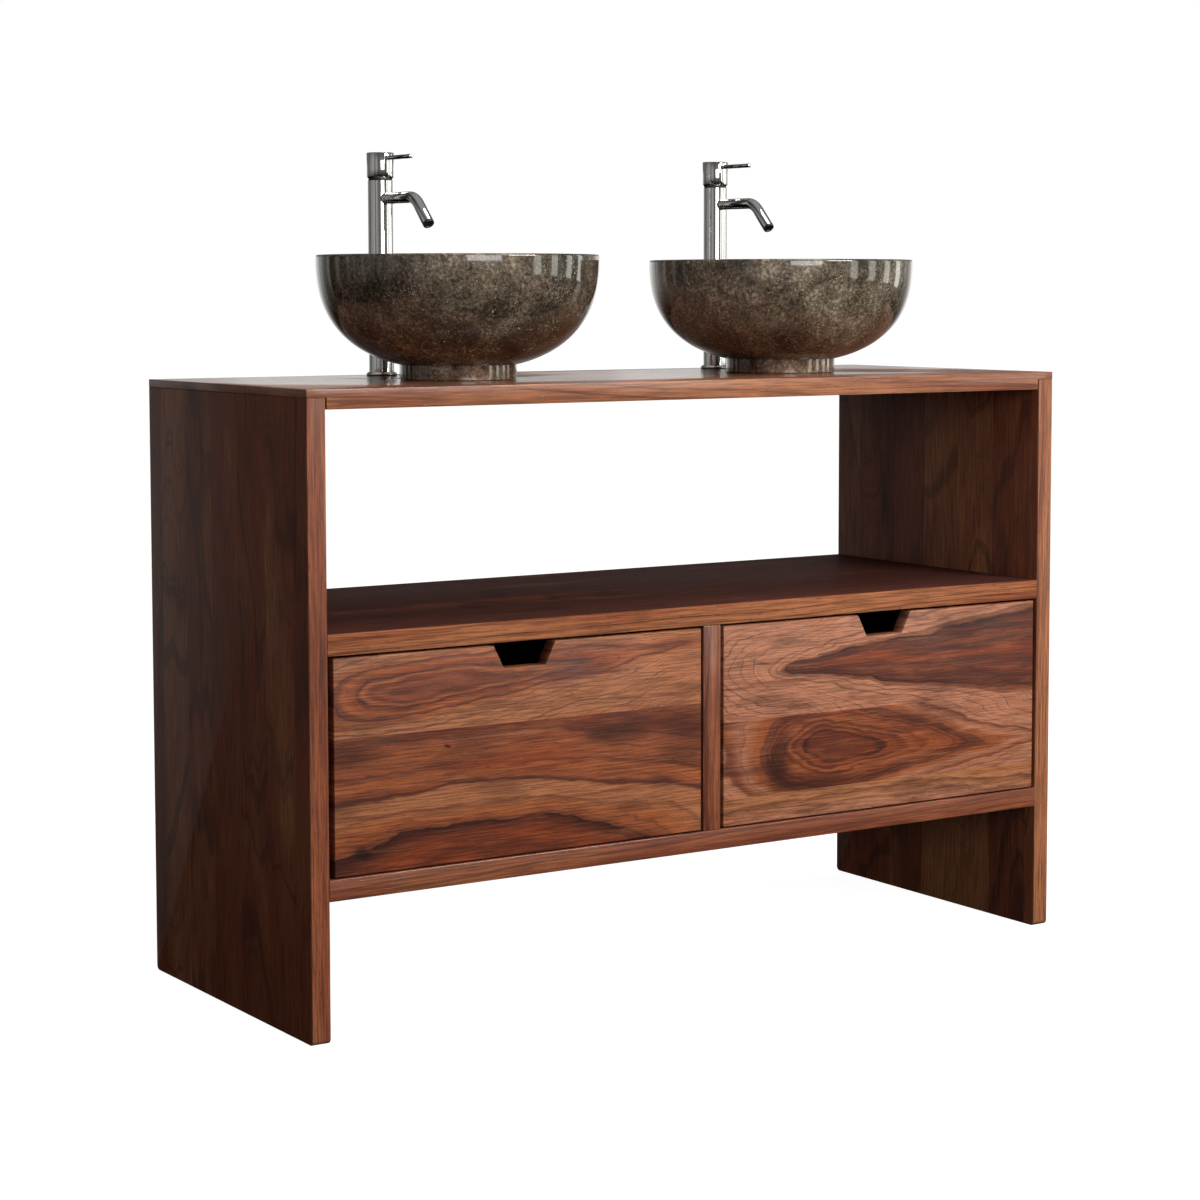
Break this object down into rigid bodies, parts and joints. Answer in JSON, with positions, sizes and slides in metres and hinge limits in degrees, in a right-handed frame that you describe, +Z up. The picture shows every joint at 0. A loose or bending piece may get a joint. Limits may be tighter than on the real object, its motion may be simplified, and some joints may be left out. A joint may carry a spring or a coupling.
{
  "type": "bathroom vanity cabinet",
  "caption": "Solid-wood vanity with stone vessel basins, tall pin-lever taps, an open niche and drawers on telescopic slides with notch pulls.",
  "frame": {"origin": "on the floor, under the middle of the cabinet's footprint", "axes": "+X to the user's right along the width, -Y out of the drawer fronts towards the user, +Z up"},
  "size_m": [1.2, 0.467, 1.118],
  "materials": {
    "rosewood": "glossy lacquered rosewood, reddish brown with dark streaks",
    "drawer_front_wood": "glossy lacquered rosewood boards with a bold figure and knots",
    "drawer_box_wood": "plain oiled hardwood",
    "marble": "polished mottled dark grey-brown marble",
    "chrome": "mirror-polished chrome plate",
    "dark_steel": "dark aerator insert",
    "zinced_steel": "zinc-plated pressed steel",
    "brass": "plain turned brass",
    "black_rubber": "matt black rubber",
    "white_plastic": "moulded plastic"
  },
  "bodies": {
    "cabinet": {"worktop": "rosewood", "left_side_panel": "rosewood", "right_side_panel": "rosewood", "shelf": "rosewood", "bottom_board": "rosewood", "divider": "rosewood", "back_panel": "drawer_box_wood", "left_bay_left_slide_channel": "zinced_steel", "left_bay_right_slide_channel": "zinced_steel", "left_basin": "marble", "left_waste_body": "chrome", "left_waste_seal": "black_rubber", "left_waste_nut": "brass", "left_tap_body": "chrome", "left_tap_base_ring": "chrome", "left_tap_seal": "black_rubber", "left_tap_washer": "zinced_steel", "left_tap_nut": "brass", "left_tap_spout": "chrome", "left_tap_aerator": "dark_steel", "left_tap_cartridge": "white_plastic", "right_bay_left_slide_channel": "zinced_steel", "right_bay_right_slide_channel": "zinced_steel", "right_basin": "marble", "right_waste_body": "chrome", "right_waste_seal": "black_rubber", "right_waste_nut": "brass", "right_tap_body": "chrome", "right_tap_base_ring": "chrome", "right_tap_seal": "black_rubber", "right_tap_washer": "zinced_steel", "right_tap_nut": "brass", "right_tap_spout": "chrome", "right_tap_aerator": "dark_steel", "right_tap_cartridge": "white_plastic"},
    "left_drawer": {"left_drawer_front": "drawer_front_wood", "left_drawer_left_side": "drawer_box_wood", "left_drawer_right_side": "drawer_box_wood", "left_drawer_back": "drawer_box_wood", "left_drawer_bottom": "drawer_box_wood", "left_drawer_left_slide_runner": "zinced_steel", "left_drawer_right_slide_runner": "zinced_steel"},
    "left_plug": {"left_waste_plug": "chrome"},
    "left_tap_swivel": {"left_tap_carrier": "brass"},
    "left_tap_handle": {"left_tap_stem": "zinced_steel", "left_tap_cap": "chrome", "left_tap_lever": "chrome"},
    "right_drawer": {"right_drawer_front": "drawer_front_wood", "right_drawer_left_side": "drawer_box_wood", "right_drawer_right_side": "drawer_box_wood", "right_drawer_back": "drawer_box_wood", "right_drawer_bottom": "drawer_box_wood", "right_drawer_left_slide_runner": "zinced_steel", "right_drawer_right_slide_runner": "zinced_steel"},
    "right_plug": {"right_waste_plug": "chrome"},
    "right_tap_swivel": {"right_tap_carrier": "brass"},
    "right_tap_handle": {"right_tap_stem": "zinced_steel", "right_tap_cap": "chrome", "right_tap_lever": "chrome"}
  },
  "joints": [
    {"name": "left_drawer_slide", "type": "slide", "parent": "cabinet", "child": "left_drawer", "axis": [0, -1, 0], "range_m": [0, 0.26]},
    {"name": "left_plug_press", "type": "slide", "parent": "cabinet", "child": "left_plug", "axis": [0, 0, -1], "range_m": [0, 0.007], "stiffness_N_per_m": 300, "springref_m": -0.012},
    {"name": "left_tap_temperature", "type": "hinge", "parent": "cabinet", "child": "left_tap_swivel", "pos_m": [-0.264, 0.196, 1.094], "axis": [0, 0, 1], "range_deg": [-45, 45]},
    {"name": "left_tap_lift", "type": "hinge", "parent": "left_tap_swivel", "child": "left_tap_handle", "pos_m": [-0.264, 0.196, 1.094], "axis": [-1, 0, 0], "range_deg": [0, 20]},
    {"name": "right_drawer_slide", "type": "slide", "parent": "cabinet", "child": "right_drawer", "axis": [0, -1, 0], "range_m": [0, 0.26]},
    {"name": "right_plug_press", "type": "slide", "parent": "cabinet", "child": "right_plug", "axis": [0, 0, -1], "range_m": [0, 0.007], "stiffness_N_per_m": 300, "springref_m": -0.012},
    {"name": "right_tap_temperature", "type": "hinge", "parent": "cabinet", "child": "right_tap_swivel", "pos_m": [0.308, 0.196, 1.094], "axis": [0, 0, 1], "range_deg": [-45, 45]},
    {"name": "right_tap_lift", "type": "hinge", "parent": "right_tap_swivel", "child": "right_tap_handle", "pos_m": [0.308, 0.196, 1.094], "axis": [-1, 0, 0], "range_deg": [0, 20]}
  ]
}
